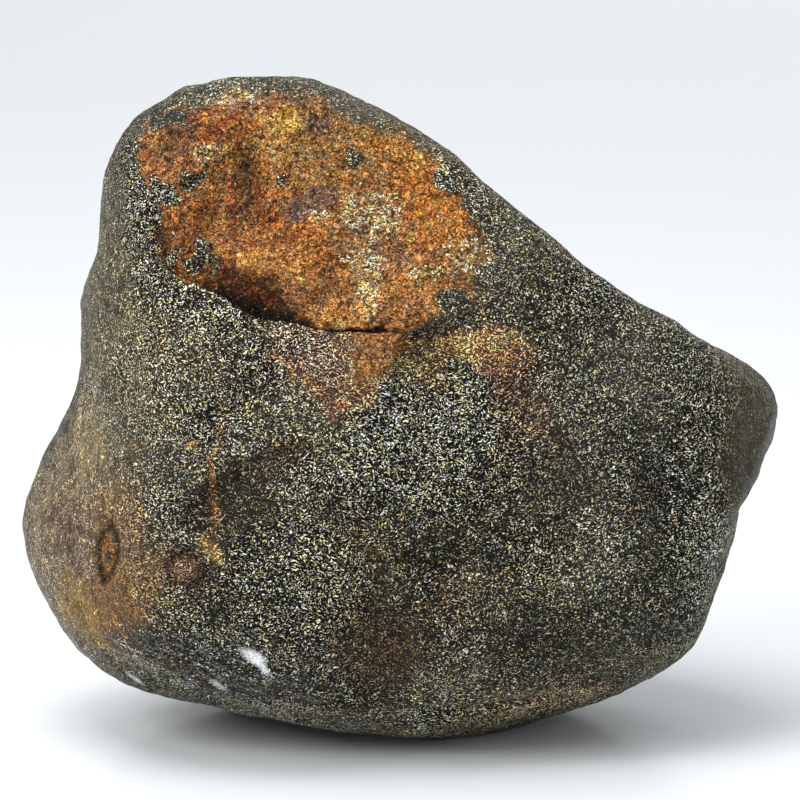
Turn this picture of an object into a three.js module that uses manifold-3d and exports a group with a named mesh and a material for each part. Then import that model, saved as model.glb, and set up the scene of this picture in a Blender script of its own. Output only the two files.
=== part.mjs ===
// Chondrite meteorite: one weathered stone with a broken, rusted hollow high on its front.
// Millimetres, +Z up. The stone rests on the flat spot at Z = 0 and its front looks along -Y.
import * as THREE from "three";
import { ImprovedNoise } from "three/addons/math/ImprovedNoise.js";
import { mergeVertices } from "three/addons/utils/BufferGeometryUtils.js";
import Module from "manifold-3d";

const wasm = await Module();
wasm.setup();

// Driving dimensions of the body.
const heartHeight = 25; // the heart, from which every facet's reach is measured, stands this high
const bodyRings = 18; // subdivisions of the icosahedron that the body is drawn from
const edgeSharpness = 18; // a higher power leaves crisper edges between the facets
const weldWithin = 1e-5; // corners of a unit sphere nearer than this are one corner

// The worn facets. The body is the soft overlap of them all. In the front view a facet looks along
// around, in degrees from +X towards +Z, and lean turns it to the back, or to the front if it is
// negative. Reach is how far it lies from the heart.
const facets = [
  // round the outline, from the nose up over the crown and back along the base
  { name: "noseTop", around: 19, lean: 3, reach: 29 },
  { name: "slope", around: 56, lean: 8, reach: 18.7 },
  { name: "crownRight", around: 82, lean: 10, reach: 25.2 },
  { name: "crownTop", around: 106, lean: 10, reach: 30.7 },
  { name: "crownLeft", around: 137, lean: 8, reach: 36.6 },
  { name: "crownSide", around: 158, lean: 5, reach: 27.3 },
  { name: "sideLeft", around: 172, lean: 2, reach: 28.9 },
  { name: "bulgeLeft", around: 198, lean: -2, reach: 34.8 },
  { name: "bulgeUnder", around: 216, lean: -6, reach: 32.5 },
  { name: "heelEdge", around: 235, lean: -9, reach: 34 },
  { name: "heelLeft", around: 261, lean: -10, reach: 25.5 },
  { name: "heelRight", around: 290, lean: -9, reach: 26.9 },
  { name: "heelFar", around: 312, lean: -7, reach: 31.5 },
  { name: "noseUnder", around: 338, lean: -4, reach: 28.6 },
  // the front
  { name: "frontMain", around: 135, lean: -86, reach: 20.6 },
  { name: "frontBroken", around: 105, lean: -62, reach: 23 },
  { name: "frontRight", around: 11, lean: -75, reach: 21 },
  { name: "endRight", around: 0, lean: -34, reach: 29.4 },
  { name: "frontLeft", around: 171, lean: -31, reach: 26 },
  { name: "frontHeel", around: 288, lean: -49, reach: 25.6 },
  { name: "frontHeelLeft", around: 245, lean: -44, reach: 28 },
  // the back
  { name: "backMain", around: 50, lean: 81, reach: 20 },
  { name: "backLeft", around: 164, lean: 45, reach: 24 },
  { name: "backRight", around: 9, lean: 48, reach: 24.2 },
  { name: "backCrown", around: 106, lean: 45, reach: 25 },
  { name: "backHeel", around: 274, lean: 38, reach: 24 },
  { name: "backHeelLeft", around: 222, lean: 38, reach: 27.5 },
  { name: "backHeelRight", around: 318, lean: 36, reach: 27.5 },
].map((facet) => ({ ...facet, toward: wayOf(facet.around, facet.lean) }));

function wayOf(around, lean) {
  const turn = THREE.MathUtils.degToRad(around);
  const tilt = THREE.MathUtils.degToRad(lean);
  return new THREE.Vector3(
    Math.cos(turn) * Math.cos(tilt),
    Math.sin(tilt),
    Math.sin(turn) * Math.cos(tilt),
  );
}

// Thumbprints, grooves and swellings of the body. Each is an ellipsoid of influence about a point of the
// surface: size is its half axes, slant turns it in the front view, and rise is how far the middle
// of it stands out, or sinks if it is negative.
const formFade = 2; // a higher power draws a form closer round its middle
const bodyForms = [
  { name: "slopeWaist", at: [16.5, 2, 38], size: [19, 30, 10], slant: -34, rise: -3.8 },
  { name: "sideWaist", at: [-27, -2, 26.5], size: [9, 18, 8.5], rise: -2.1 },
  { name: "crownShoulder", at: [-23.5, -2, 46], size: [7, 20, 8], rise: 1 },
  { name: "crownFlat", at: [-15, 0, 51], size: [9, 20, 6], rise: -0.9 },
  { name: "crownBrow", at: [3, 0, 47], size: [11, 20, 7], slant: -30, rise: 0.5 },
  { name: "bulgeTip", at: [-29, -4, 16], size: [7, 15, 6], rise: 1 },
  { name: "noseTip", at: [29, -3, 28.5], size: [7, 15, 5.5], rise: 0.7 },
  { name: "heelCorner", at: [23.5, -3, 7], size: [7, 15, 6], rise: 0.8 },
  { name: "noseWaist", at: [28, -4, 18], size: [6, 14, 5], rise: -1 },
  { name: "shoulderHollow", at: [4, -19, 33.5], size: [9, 9, 6], slant: -8, rise: -0.9 },
  { name: "archHollow", at: [-12, -18, 22.5], size: [11, 10, 7.5], slant: 35, rise: -1.4 },
  { name: "pillow", at: [-8, -19, 14], size: [8.5, 9, 7], rise: 0.9 },
  { name: "chinGroove", at: [-1.4, -19, 12], size: [5, 9, 11], slant: -8, rise: -1.3 },
  { name: "chinHollow", at: [4.5, -19, 18], size: [8, 8, 5.5], rise: -0.8 },
  { name: "lip", at: [-10, -20, 34], size: [13, 7, 4], slant: -15, rise: 0.6 },
  { name: "backThumbHigh", at: [-7, 18, 35], size: [11, 12, 9], slant: 20, rise: -1.8 },
  { name: "backThumbLow", at: [9, 20, 18], size: [12, 11, 9], slant: -15, rise: -2 },
  { name: "backThumbLeft", at: [-20, 13, 19], size: [9, 11, 9], rise: -1.6 },
  { name: "noseThumb", at: [23, 11, 21], size: [8, 9, 8], rise: -1.3 },
  { name: "crownDimple", at: [-12, 9, 46], size: [9, 9, 7], rise: -1 },
];

// The broken hollow: a lumpy bowl cut into the upper front, steep along its lower left rim and
// running out level at its upper right.
const hollow = {
  at: [-7.6, -17.4, 48.6],
  size: [15.5, 5, 14], // half axes, before it is turned
  leanBack: 12, // degrees that its floor looks upwards
  turnLeft: 10, // degrees that its floor looks to the left
  slant: -16, // degrees that its long axis rises to the right
  lumpiness: 1.4, // times the unevenness of the skin
  rings: 12,
};
const hollowForms = [
  { name: "shelf", at: [-18, -13, 49], size: [7, 8, 4.5], rise: -1.8 },
  { name: "floorSwell", at: [-5, -14, 40], size: [7, 8, 5], rise: -0.8 },
  { name: "floorGroove", at: [-12.5, -13, 43.5], size: [4, 8, 5], slant: -30, rise: 0.8 },
];

// Small marks of the crust, each an ellipsoid cut into the skin or left standing on it: facing is the way
// the skin looks there, size is its half axes across, deep and up, and slant turns it on the skin.
const smallMarks = [
  {
    name: "eyePit",
    at: [-23.3, -15, 16.4],
    facing: [-0.84, -0.55, 0.07],
    size: [1.5, 0.7, 2.2],
    slant: 12,
  },
  {
    name: "blister",
    raised: true,
    at: [-16, -19.8, 16.1],
    facing: [-0.12, -0.98, 0.13],
    size: [1.8, 0.6, 1.5],
  },
];
const markRings = 3; // subdivisions of the icosahedron that a mark is drawn from

// Fine unevenness over everything: wavelength and height of each layer.
const unevenness = [
  { wavelength: 9, height: 0.45 },
  { wavelength: 4, height: 0.18 },
];

const crust = { color: 0x3b3a35, roughness: 0.8, metalness: 0 };

const up = new THREE.Vector3(0, 0, 1);
const towardBack = new THREE.Vector3(0, 1, 0);
const noise = new ImprovedNoise();

// Distance from the heart to the soft overlap of the facets, along a unit direction.
function facetReach(direction) {
  let crowding = 0;
  for (const { toward, reach } of facets) {
    const facing = direction.dot(toward);
    if (facing > 0) crowding += (facing / reach) ** edgeSharpness;
  }
  return crowding ** (-1 / edgeSharpness);
}

// How far the forms in a list lift the surface at a point.
function riseOfForms(point, forms) {
  let total = 0;
  for (const { at, size, slant = 0, rise } of forms) {
    const offset = point.clone().sub(new THREE.Vector3(...at));
    offset.applyAxisAngle(towardBack, THREE.MathUtils.degToRad(slant)).divide(new THREE.Vector3(...size));
    const away = offset.lengthSq();
    if (away < 1) total += rise * (1 - away) ** formFade;
  }
  return total;
}

function unevennessAt(point) {
  return unevenness.reduce(
    (sum, { wavelength, height }) =>
      sum + height * noise.noise(point.x / wavelength, point.y / wavelength, point.z / wavelength),
    0,
  );
}

// A unit sphere of triangles with shared vertices, so that each vertex can be moved once.
function sphereOfTriangles(rings) {
  const sphere = new THREE.IcosahedronGeometry(1, rings);
  sphere.deleteAttribute("normal");
  sphere.deleteAttribute("uv");
  return mergeVertices(sphere, weldWithin);
}

function bodyGeometry() {
  const geometry = sphereOfTriangles(bodyRings);
  const position = geometry.getAttribute("position");
  const heart = up.clone().multiplyScalar(heartHeight);
  const direction = new THREE.Vector3();
  const point = new THREE.Vector3();
  for (let i = 0; i < position.count; i++) {
    direction.fromBufferAttribute(position, i).normalize();
    const reach = facetReach(direction);
    point.copy(direction).multiplyScalar(reach).add(heart);
    let finalReach = reach + riseOfForms(point, bodyForms) + unevennessAt(point);
    if (direction.z < 0) finalReach = Math.min(finalReach, heartHeight / -direction.z);
    point.copy(direction).multiplyScalar(finalReach).add(heart);
    position.setXYZ(i, point.x, point.y, point.z);
  }
  return geometry;
}

function hollowGeometry() {
  const geometry = sphereOfTriangles(hollow.rings);
  const position = geometry.getAttribute("position");
  const centre = new THREE.Vector3(...hollow.at);
  const size = new THREE.Vector3(...hollow.size);
  const { leanBack, turnLeft, slant } = hollow;
  const angles = [-leanBack, -slant, -turnLeft].map(THREE.MathUtils.degToRad);
  const turn = new THREE.Quaternion().setFromEuler(new THREE.Euler(...angles, "ZXY"));
  const spoke = new THREE.Vector3();
  const point = new THREE.Vector3();
  for (let i = 0; i < position.count; i++) {
    spoke.fromBufferAttribute(position, i).multiply(size).applyQuaternion(turn);
    point.copy(spoke).add(centre);
    const reach = spoke.length() + riseOfForms(point, hollowForms) + hollow.lumpiness * unevennessAt(point);
    point.copy(spoke).setLength(reach).add(centre);
    position.setXYZ(i, point.x, point.y, point.z);
  }
  return geometry;
}

function markGeometry({ at, facing, size, slant = 0 }) {
  const outward = new THREE.Vector3(...facing).normalize();
  const across = new THREE.Vector3().crossVectors(outward, up).normalize();
  const along = new THREE.Vector3().crossVectors(across, outward);
  const frame = new THREE.Matrix4()
    .makeBasis(across, outward, along)
    .multiply(new THREE.Matrix4().makeRotationY(THREE.MathUtils.degToRad(slant)))
    .scale(new THREE.Vector3(...size))
    .setPosition(...at);
  return sphereOfTriangles(markRings).applyMatrix4(frame);
}

function solidOf(geometry) {
  return new wasm.Manifold(
    new wasm.Mesh({
      numProp: 3,
      vertProperties: new Float32Array(geometry.getAttribute("position").array),
      triVerts: new Uint32Array(geometry.index.array),
    }),
  );
}

function geometryOf(solid) {
  const { vertProperties, triVerts } = solid.getMesh();
  return new THREE.BufferGeometry()
    .setAttribute("position", new THREE.BufferAttribute(vertProperties, 3))
    .setIndex(new THREE.BufferAttribute(triVerts, 1));
}

const stone = new THREE.Group();
let solid = solidOf(bodyGeometry()).subtract(solidOf(hollowGeometry()));
for (const mark of smallMarks) {
  const markSolid = solidOf(markGeometry(mark));
  solid = mark.raised ? solid.add(markSolid) : solid.subtract(markSolid);
}
const mesh = new THREE.Mesh(geometryOf(solid), new THREE.MeshStandardMaterial(crust));
mesh.name = "stone";
stone.add(mesh);

export default stone;
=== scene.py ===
# Chondrite meteorite: one weathered stone, its dark grained crust, its ochre stains and its rusted break.
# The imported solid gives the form. A copy of it is remeshed finely, worked over and coloured by place.
import math

import bpy
import numpy as np
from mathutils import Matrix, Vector, noise


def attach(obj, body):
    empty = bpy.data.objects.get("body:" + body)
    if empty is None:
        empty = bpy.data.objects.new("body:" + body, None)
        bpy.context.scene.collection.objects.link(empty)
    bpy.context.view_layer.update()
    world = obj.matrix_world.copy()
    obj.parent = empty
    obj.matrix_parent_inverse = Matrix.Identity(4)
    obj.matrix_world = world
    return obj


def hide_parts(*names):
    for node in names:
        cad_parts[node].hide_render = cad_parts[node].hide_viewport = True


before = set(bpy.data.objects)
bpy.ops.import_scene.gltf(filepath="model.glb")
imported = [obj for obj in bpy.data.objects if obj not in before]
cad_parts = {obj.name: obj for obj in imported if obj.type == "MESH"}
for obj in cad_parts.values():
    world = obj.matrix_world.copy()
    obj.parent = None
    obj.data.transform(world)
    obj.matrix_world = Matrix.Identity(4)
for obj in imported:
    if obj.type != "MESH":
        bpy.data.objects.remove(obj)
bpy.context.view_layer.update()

mm = 0.001  # the lists below are in millimetres, and Blender's own lengths in metres


def selectOnly(thing):
    bpy.ops.object.select_all(action="DESELECT")
    thing.select_set(True)
    bpy.context.view_layer.objects.active = thing


def applyModifier(piece, kind, **settings):
    selectOnly(piece)
    bpy.ops.object.modifier_add(type=kind)
    modifier = piece.modifiers[-1]
    for name, value in settings.items():
        setattr(modifier, name, value)
    bpy.ops.object.modifier_apply(modifier=modifier.name)


def linear(*rgb):
    shares = np.array(rgb) / 255
    return np.where(shares <= 0.04045, shares / 12.92, ((shares + 0.055) / 1.055) ** 2.4)


def blended(colours, other, part):
    # the first colours with a part of the other over them, point by point
    part = part[:, None]
    return colours * (1 - part) + other * part


# The skin is a fine even mesh of the whole stone.
skin = {
    "voxel": 0.42 * mm,
    "smoothPasses": 5,
    "lift": 0.06,  # what the smoothing took off
    "finerWithin": 2.0,  # the mesh is twice as fine this near to the break and the small marks
    "finerAround": 1.5,  # and within this many times the size of a spot
    "finerFrom": -4,  # only this far forward of the middle
    "lumpyAt": (-4, -20, 15),  # the low front is lumpier
    "lumpySize": (20, 12, 13),
    "frontFrom": 2,  # marks drawn in the front view fade in from this far forward of the middle
    "frontFull": 6,
    "marksStray": 0.3,  # how far their lines wander
}


def makeSkin():
    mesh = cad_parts["stone"].data.copy()
    mesh.materials.clear()
    piece = bpy.data.objects.new("weatheredStone", mesh)
    bpy.context.collection.objects.link(piece)
    selectOnly(piece)
    bpy.ops.object.mode_set(mode="EDIT")
    bpy.ops.mesh.select_all(action="SELECT")
    bpy.ops.mesh.remove_doubles(threshold=1e-6)
    bpy.ops.object.mode_set(mode="OBJECT")
    applyModifier(piece, "SUBSURF", levels=1, render_levels=1)
    applyModifier(piece, "REMESH", mode="VOXEL", voxel_size=skin["voxel"])
    applyModifier(piece, "SMOOTH", factor=0.5, iterations=skin["smoothPasses"])
    refineDetail(piece)
    print("skin:", len(piece.data.vertices), "vertices")
    return piece


def refineDetail(piece):
    places = placesOf(piece)
    near = depthInside(places, rustBreak["outline"]) > -skin["finerWithin"]
    for step in steps:
        near |= besideLine(places, step["line"])[0] < skin["finerWithin"]
    for ring in rings:
        away = np.hypot(places[:, 0] - ring["at"][0], places[:, 2] - ring["at"][1])
        near |= away < 2 * skin["finerWithin"]
    for spot in spots:
        reach = skin["finerAround"] * np.array(spot["size"])
        near |= nearness(places, spot["at"], reach, spot["slant"]) > 0
    near &= places[:, 1] < skin["finerFrom"]
    selectOnly(piece)
    bpy.ops.object.mode_set(mode="EDIT")
    bpy.ops.mesh.select_mode(type="VERT")
    bpy.ops.mesh.select_all(action="DESELECT")
    bpy.ops.object.mode_set(mode="OBJECT")
    piece.data.vertices.foreach_set("select", near)
    bpy.ops.object.mode_set(mode="EDIT")
    bpy.ops.mesh.subdivide(number_cuts=1)
    bpy.ops.object.mode_set(mode="OBJECT")


def placesOf(piece):
    flat = np.empty(len(piece.data.vertices) * 3)
    piece.data.vertices.foreach_get("co", flat)
    return flat.reshape(-1, 3) / mm


def normalsOf(piece):
    flat = np.empty(len(piece.data.vertices) * 3)
    piece.data.vertex_normals.foreach_get("vector", flat)
    return flat.reshape(-1, 3)


def moveTo(piece, places):
    piece.data.vertices.foreach_set("co", (places * mm).ravel())
    piece.data.update()


# Ways of saying where on the stone something is, in mm.

def smooth(value, low, high):
    part = ((value - low) / (high - low)).clip(0, 1)
    return part * part * (3 - 2 * part)


def unevenness(places, size, seed=0.0):
    # about -1 to 1, in lumps of the given size in mm
    scaled = places / size + seed
    return np.array([noise.noise(Vector(place)) for place in scaled])


def raggedness(places, layers):
    # lumps on lumps: the strength, size and seed of each layer
    return sum(strength * unevenness(places, size, seed) for strength, size, seed in layers)


def depthInside(places, outline):
    # how far inside an outline of (x, z) points in the front view, in mm, and negative outside it
    x, z = places[:, 0], places[:, 2]
    nearest = np.full(len(x), 1e9)
    inside = np.zeros(len(x), bool)
    for (ax, az), (bx, bz) in zip(outline, outline[1:] + outline[:1]):
        runX, runZ = bx - ax, bz - az
        along = (((x - ax) * runX + (z - az) * runZ) / (runX**2 + runZ**2)).clip(0, 1)
        nearest = np.minimum(nearest, np.hypot(x - ax - along * runX, z - az - along * runZ))
        inside ^= ((az > z) != (bz > z)) & (x < ax + runX * (z - az) / (runZ or 1e-9))
    return np.where(inside, nearest, -nearest)


def besideLine(places, line):
    # for a line of (x, z, strength) in the front view: the distance from it, the strength there,
    # and whether a point lies on its left (1) or its right (-1)
    x, z = places[:, 0], places[:, 2]
    nearest = np.full(len(x), 1e9)
    strength = np.zeros(len(x))
    side = np.zeros(len(x))
    for (ax, az, startStrength), (bx, bz, endStrength) in zip(line, line[1:]):
        runX, runZ = bx - ax, bz - az
        along = (((x - ax) * runX + (z - az) * runZ) / (runX**2 + runZ**2)).clip(0, 1)
        away = np.hypot(x - ax - along * runX, z - az - along * runZ)
        closer = away < nearest
        nearest = np.where(closer, away, nearest)
        strength = np.where(closer, startStrength + along * (endStrength - startStrength), strength)
        side = np.where(closer, np.sign(runX * (z - az) - runZ * (x - ax)), side)
    return nearest, strength, side


def nearness(places, at, size, slant=0):
    # 1 in the middle of an ellipsoid and 0 at its skin and beyond; slant turns it in the front view
    turn = math.radians(slant)
    x, y, z = (places - np.array(at)).T
    across = x * math.cos(turn) + z * math.sin(turn)
    upwards = z * math.cos(turn) - x * math.sin(turn)
    away = (across / size[0]) ** 2 + (y / size[1]) ** 2 + (upwards / size[2]) ** 2
    return (1 - away).clip(0, 1)


# The broken, rusted hollow, its outline in (x, z) points of the front view.
rustBreak = {
    "outline": [
        (-18.9, 40.7), (-18.6, 39.4), (-17.2, 37.9), (-15.6, 37.3), (-13.8, 36.7), (-12.5, 35.8),
        (-11.4, 35.2), (-10.0, 34.6), (-8.6, 34.3), (-6.8, 34.2), (-1.1, 34.3), (0.5, 34.4),
        (2.4, 35.3), (4.3, 36.5), (5.8, 38.1), (6.4, 40.0), (5.8, 42.0), (5.1, 43.9), (3.9, 45.7),
        (2.7, 46.9), (0.4, 48.5), (-1.6, 49.4), (-3.8, 50.2), (-7.2, 51.3), (-11.6, 51.9), (-14.2, 50.9),
        (-17.2, 50.0), (-19.2, 48.8), (-20.0, 47.2), (-19.6, 45.2), (-18.5, 42.9),
    ],
    "behind": -6.2,  # the break ends over the crown, this far forward of the middle
    "edge": 1.5,  # half the width of its frayed edge
    "rightEdge": 0.6,  # added to that at its right
    "ledgeEdge": 0.35,
    "rimEdge": 0.55,  # along the crown's rim
    "rimFromX": (-9, -5),  # the rim starts between these on the right
    "rimFromZ": (40, 43),
    "rimAllAboveZ": (44.5, 47),  # and further up it goes all round
    "crispWithin": 1.2,  # of the ledge, and no longer past crispUntil
    "crispUntil": 3.5,
    "fray": [(0.7, 1.7, 0), (0.5, 0.7, 5)],  # lumps of its edge: strength, size and seed
}
# Rust runs down over the ledge here.
rustFlow = {
    "outline": [(-4.3, 34.7), (-2.6, 35.0), (0.3, 35.0), (0.7, 33.4), (-0.6, 31.6), (-2.3, 30.2),
                (-4.2, 28.9), (-5.2, 29.4), (-4.0, 30.8), (-3.3, 32.2)],
    "edge": 0.7,
    "strength": 0.8,
    "fadesBelowZ": (29.0, 32.5),
}
# The stained tongue under the ledge.
spur = {
    "outline": [(-10.2, 34.2), (-6.8, 34.4), (-1.1, 34.2), (0.2, 33.4), (-0.9, 31.6), (-2.6, 29.4),
                (-4.9, 28.0), (-7.0, 30.4), (-9.4, 32.4)],
    "edge": 1.2,
    "fray": [(0.8, 1.5, 9), (0.4, 0.6, 3)],
    "rim": 0.7,  # the width of its orange rim
    "rimBelowZ": (34, 32),
    "turnsOrangeX": (-5.0, -1.5),
    "strength": 0.8,
    "purple": linear(144, 104, 84),
    "orange": linear(194, 114, 56),
}
# Painted shade in the dark crevice above the ledge: how much of it the lip hides, where it fades, and the
# colour of the painted shade.
crevice = {"hidden": 1.15, "from": 0.1, "to": 0.65, "startsX": (-17.5, -13), "colour": linear(26, 18, 12)}


def atFront(places):
    return smooth(-places[:, 1], skin["frontFrom"], skin["frontFull"])


def rustMask(places):
    # crisp along the ledge and the crown's rim, and frayed over a few millimetres elsewhere
    ragged = raggedness(places, rustBreak["fray"])
    away, _, _ = besideLine(places, ledge["line"])
    crisp = smooth(away, rustBreak["crispUntil"], rustBreak["crispWithin"])
    edge = rustBreak["edge"] + rustBreak["rightEdge"] * smooth(places[:, 0], 0, 5)
    edge = edge * (1 - crisp) + rustBreak["ledgeEdge"] * crisp
    rim = smooth(places[:, 0], *rustBreak["rimFromX"]) * smooth(places[:, 2], *rustBreak["rimFromZ"])
    rim = np.maximum(rim, smooth(places[:, 2], *rustBreak["rimAllAboveZ"]))
    edge = edge * (1 - rim) + rustBreak["rimEdge"] * rim
    depth = depthInside(places, rustBreak["outline"]) + ragged * (1 - 0.75 * crisp)
    overCrown = smooth(rustBreak["behind"] - places[:, 1] + ragged, -1.0, 1.0)
    share = smooth(depth / edge, -1, 1) * overCrown
    depth = depthInside(places, rustFlow["outline"]) + 0.8 * ragged
    flow = smooth(depth, -rustFlow["edge"], rustFlow["edge"]) * atFront(places)
    flow = rustFlow["strength"] * flow * smooth(places[:, 2], *rustFlow["fadesBelowZ"])
    share = np.maximum(share, flow)
    for scrap in scraps:
        near = nearness(places, scrap["at"], scrap["size"], scrap["slant"])
        share = share * (1 - smooth(near + 1.3 * (ragged - 0.15) * smooth(near, 0, 0.25), 0.05, 0.5))
    return share


def creviceShadeMask(places):
    # where the painted shade of the crevice lies
    away, strength, side = besideLine(places, ledge["line"])
    # what the lip doesn't hide: it hangs over further where the ledge is stronger
    inward = -away * side - crevice["hidden"] * strength + 0.25 * unevenness(places, 0.8, 13)
    share = smooth(inward, crevice["to"] * (0.4 + 0.6 * strength), crevice["from"]) * (side < 0)
    share = share * smooth(strength, 0, 0.25) * smooth(places[:, 0], *crevice["startsX"])
    return share * atFront(places)


def spurMask(places):
    depth = depthInside(places, spur["outline"]) + raggedness(places, spur["fray"])
    return smooth(depth, -spur["edge"], spur["edge"]) * atFront(places)


# Small forms, each pushed in or out along the skin by its rise in mm.
dents = [
    {"name": "crownSwell", "at": (-20, -2, 46), "size": (8, 15, 10), "slant": 30, "rise": 0.38},
    {"name": "sideSwell", "at": (-25.6, -2, 27), "size": (4, 14, 5), "slant": 0, "rise": 0.3},
    {"name": "crownEdgeSwell", "at": (2.3, -8, 47.4), "size": (4, 14, 4), "slant": -30, "rise": 0.12},
    {"name": "shoulderSwell", "at": (27.5, -2, 29), "size": (5.5, 13, 4), "slant": -30, "rise": 0.1},
    {"name": "slopeHollow", "at": (18.5, -3, 34.5), "size": (7, 14, 4), "slant": -30, "rise": -0.22},
    {"name": "scoopPocket", "at": (-17.0, -14.5, 40.2), "size": (2.2, 5, 1.6), "slant": 0, "rise": -0.35},
    {"name": "floorBrow", "at": (-8.5, -15.5, 39.0), "size": (5.5, 6, 2.8), "slant": -12, "rise": 0.5},
    {"name": "notch", "at": (2.0, -18.5, 33.2), "size": (3.2, 6, 2.6), "slant": 20, "rise": -0.5},
    {"name": "hollowSwell", "at": (7.2, -18.5, 31.8), "size": (3.4, 6, 2.2), "slant": -12, "rise": 0.3},
    {"name": "spurSwell", "at": (-4.6, -20, 31.6), "size": (5, 6, 2.8), "slant": 0, "rise": 0.35},
    {"name": "archPocket", "at": (-12.8, -19.2, 21.4), "size": (3.8, 6, 2.8), "slant": 40, "rise": -0.45},
    {"name": "pillowBump", "at": (-8.3, -20.8, 17.0), "size": (1.9, 5, 2.4), "slant": 0, "rise": 0.4},
    {"name": "pillowFoot", "at": (-10.6, -20, 12.4), "size": (4.4, 5, 2.6), "slant": -20, "rise": 0.35},
    {"name": "glossDip", "at": (-12, -19, 9.6), "size": (5, 5, 1.4), "slant": -16, "rise": -0.4},
    {"name": "chinPocket", "at": (4.0, -20, 17.0), "size": (3.6, 6, 2.6), "slant": -8, "rise": -0.7},
    {"name": "chinBump", "at": (3.6, -20, 8.0), "size": (2.8, 5, 2.4), "slant": 0, "rise": 0.6},
    {"name": "chinKnob", "at": (6.2, -20, 14.6), "size": (1.4, 5, 1.1), "slant": 0, "rise": 0.25},
    {"name": "lowDip", "at": (10.5, -18, 12.6), "size": (4.0, 6, 3.0), "slant": 20, "rise": -0.5},
    {"name": "flankDipHigh", "at": (14.5, -17, 30), "size": (4.2, 6, 2.8), "slant": -30, "rise": -0.35},
    {"name": "flankDip", "at": (13.5, -18, 21.5), "size": (3.0, 6, 3.4), "slant": 20, "rise": -0.35},
    {"name": "flankSwell", "at": (11, -18.8, 25.5), "size": (2.4, 6, 3.0), "slant": 10, "rise": 0.3},
]
# Grooves run along lines of (x, z, strength) points of the front view.
grooves = [
    {"name": "floorGroove", "width": 0.9, "rise": -0.7,
     "line": [(-11.7, 48.8, 0.6), (-11.4, 46.8, 1), (-10.8, 44.8, 1), (-11.4, 42.3, 0.8),
              (-13.4, 41.8, 0.3)]},
    {"name": "rustVein", "width": 0.16, "rise": -0.16, "colour": linear(200, 122, 60),
     "line": [(-13.5, 29.9, 0.4), (-13.5, 26.2, 1), (-14.4, 24.9, 1), (-14.2, 21.0, 1),
              (-14.2, 18.9, 0.3)]},
    {"name": "chinGroove", "width": 1.5, "rise": -0.9,
     "line": [(-2.0, 19.0, 0.3), (-1.8, 17.0, 1), (-1.2, 14, 0.7), (-0.4, 10.5, 1), (0.2, 7.0, 0.6),
              (0.4, 5.4, 0)]},
    {"name": "flankGroove", "width": 1.5, "rise": -0.45,
     "line": [(20.6, 27.0, 0.2), (20.2, 22, 1), (19.4, 17.6, 0.7), (19.2, 14.5, 0)]},
    {"name": "hemSlot", "width": 0.5, "rise": -0.35,
     "line": [(2.9, 4.8, 0.5), (6, 4.2, 1), (9, 4.6, 1), (12, 5.2, 0.3)]},
]
# Steps: the skin stands up by bank on the left of the line, as it runs, and sinks by foot on its right.
# The ledge's bank hangs over its foot, and the floor swells by brow before it turns down under it.
ledge = {
    "name": "ledge", "bank": 0.5, "bankWidth": 1.3, "foot": -3.4, "footWidth": 0.9,
    "brow": 1.7, "browAway": 3.0, "browWidth": 1.3, "overhang": 1.3, "overhangWidth": 0.9,
    "line": [(0.8, 34.3, 0), (-1.1, 34.3, 0.25), (-4.4, 34.3, 0.45), (-6.8, 34.2, 0.7), (-8.6, 34.3, 1),
             (-10.0, 34.6, 1), (-11.4, 35.2, 0.95), (-12.5, 35.8, 0.85), (-13.8, 36.7, 0.7),
             (-15.6, 37.3, 0.6), (-17.2, 37.9, 0.5), (-18.6, 39.4, 0.4), (-19.3, 42.6, 0.35),
             (-19.1, 44.2, 0)],
}
steps = [
    ledge,
    {"name": "arch", "bank": 0.35, "bankWidth": 1.4, "foot": -0.4, "footWidth": 1.5,
     "line": [(-17.4, 18.2, 0), (-16.3, 20.2, 0.8), (-15.2, 22.5, 1), (-14.0, 22.8, 1), (-11.4, 24.9, 1),
              (-7.6, 26.1, 0.9), (-4.9, 25.9, 0.5), (-4.2, 24.6, 0)]},
    {"name": "notchEdge", "bank": 0.35, "bankWidth": 1.3, "foot": -0.6, "footWidth": 1.6,
     "line": [(-0.6, 30.2, 0.2), (-0.5, 32.5, 1), (0.2, 34.0, 1), (1.9, 35.0, 1), (3.8, 35.4, 0.8),
              (6.8, 36.4, 0.1)]},
    {"name": "shelf", "bank": 0.3, "bankWidth": 1.6, "foot": -0.3, "footWidth": 1.8,
     "line": [(-19.4, 44.2, 0.3), (-17.0, 44.9, 1), (-15.2, 45.8, 1), (-12.5, 47.6, 0.8),
              (-10.6, 49.0, 0)]},
    {"name": "frontLeftEdge", "bank": 0.3, "bankWidth": 1.0, "foot": -0.25, "footWidth": 1.6,
     "line": [(-21.0, 44.6, 0), (-20.6, 41.2, 1), (-18.9, 37.4, 1), (-17.6, 34.2, 0.7),
              (-16.6, 29.3, 0)]},
]
ringWidths = {"rim": 0.3, "paintedRim": 0.24}  # as shares of the ring's half size
# Rings sink by rim on their outline, and stand up by middle inside it.
rings = [
    {"name": "eyePit", "at": (-22.5, 16.6), "size": (0.82, 2.1), "slant": -8, "rim": -0.5, "middle": 0.15,
     "rimColour": linear(5, 5, 5), "middleColour": linear(150, 104, 44), "coreColour": linear(30, 22, 14)},
    {"name": "blister", "at": (-16.2, 16.4), "size": (1.5, 1.3), "slant": 0, "rim": -0.5, "middle": 0.6,
     "rimColour": linear(80, 54, 34), "middleColour": linear(122, 84, 66)},
]


def riseBeside(step, away, side):
    # a short blend across the line keeps the wall of the step from tearing
    onBank = smooth(away * side, -0.22, 0.22)
    bank = step["bank"] * np.exp(-away / step["bankWidth"])
    foot = step["foot"] * np.exp(-away / step["footWidth"])
    if "brow" in step:
        foot = foot + step["brow"] * np.exp(-(((away - step["browAway"]) / step["browWidth"]) ** 2))
    return bank * onBank + foot * (1 - onBank)


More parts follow.
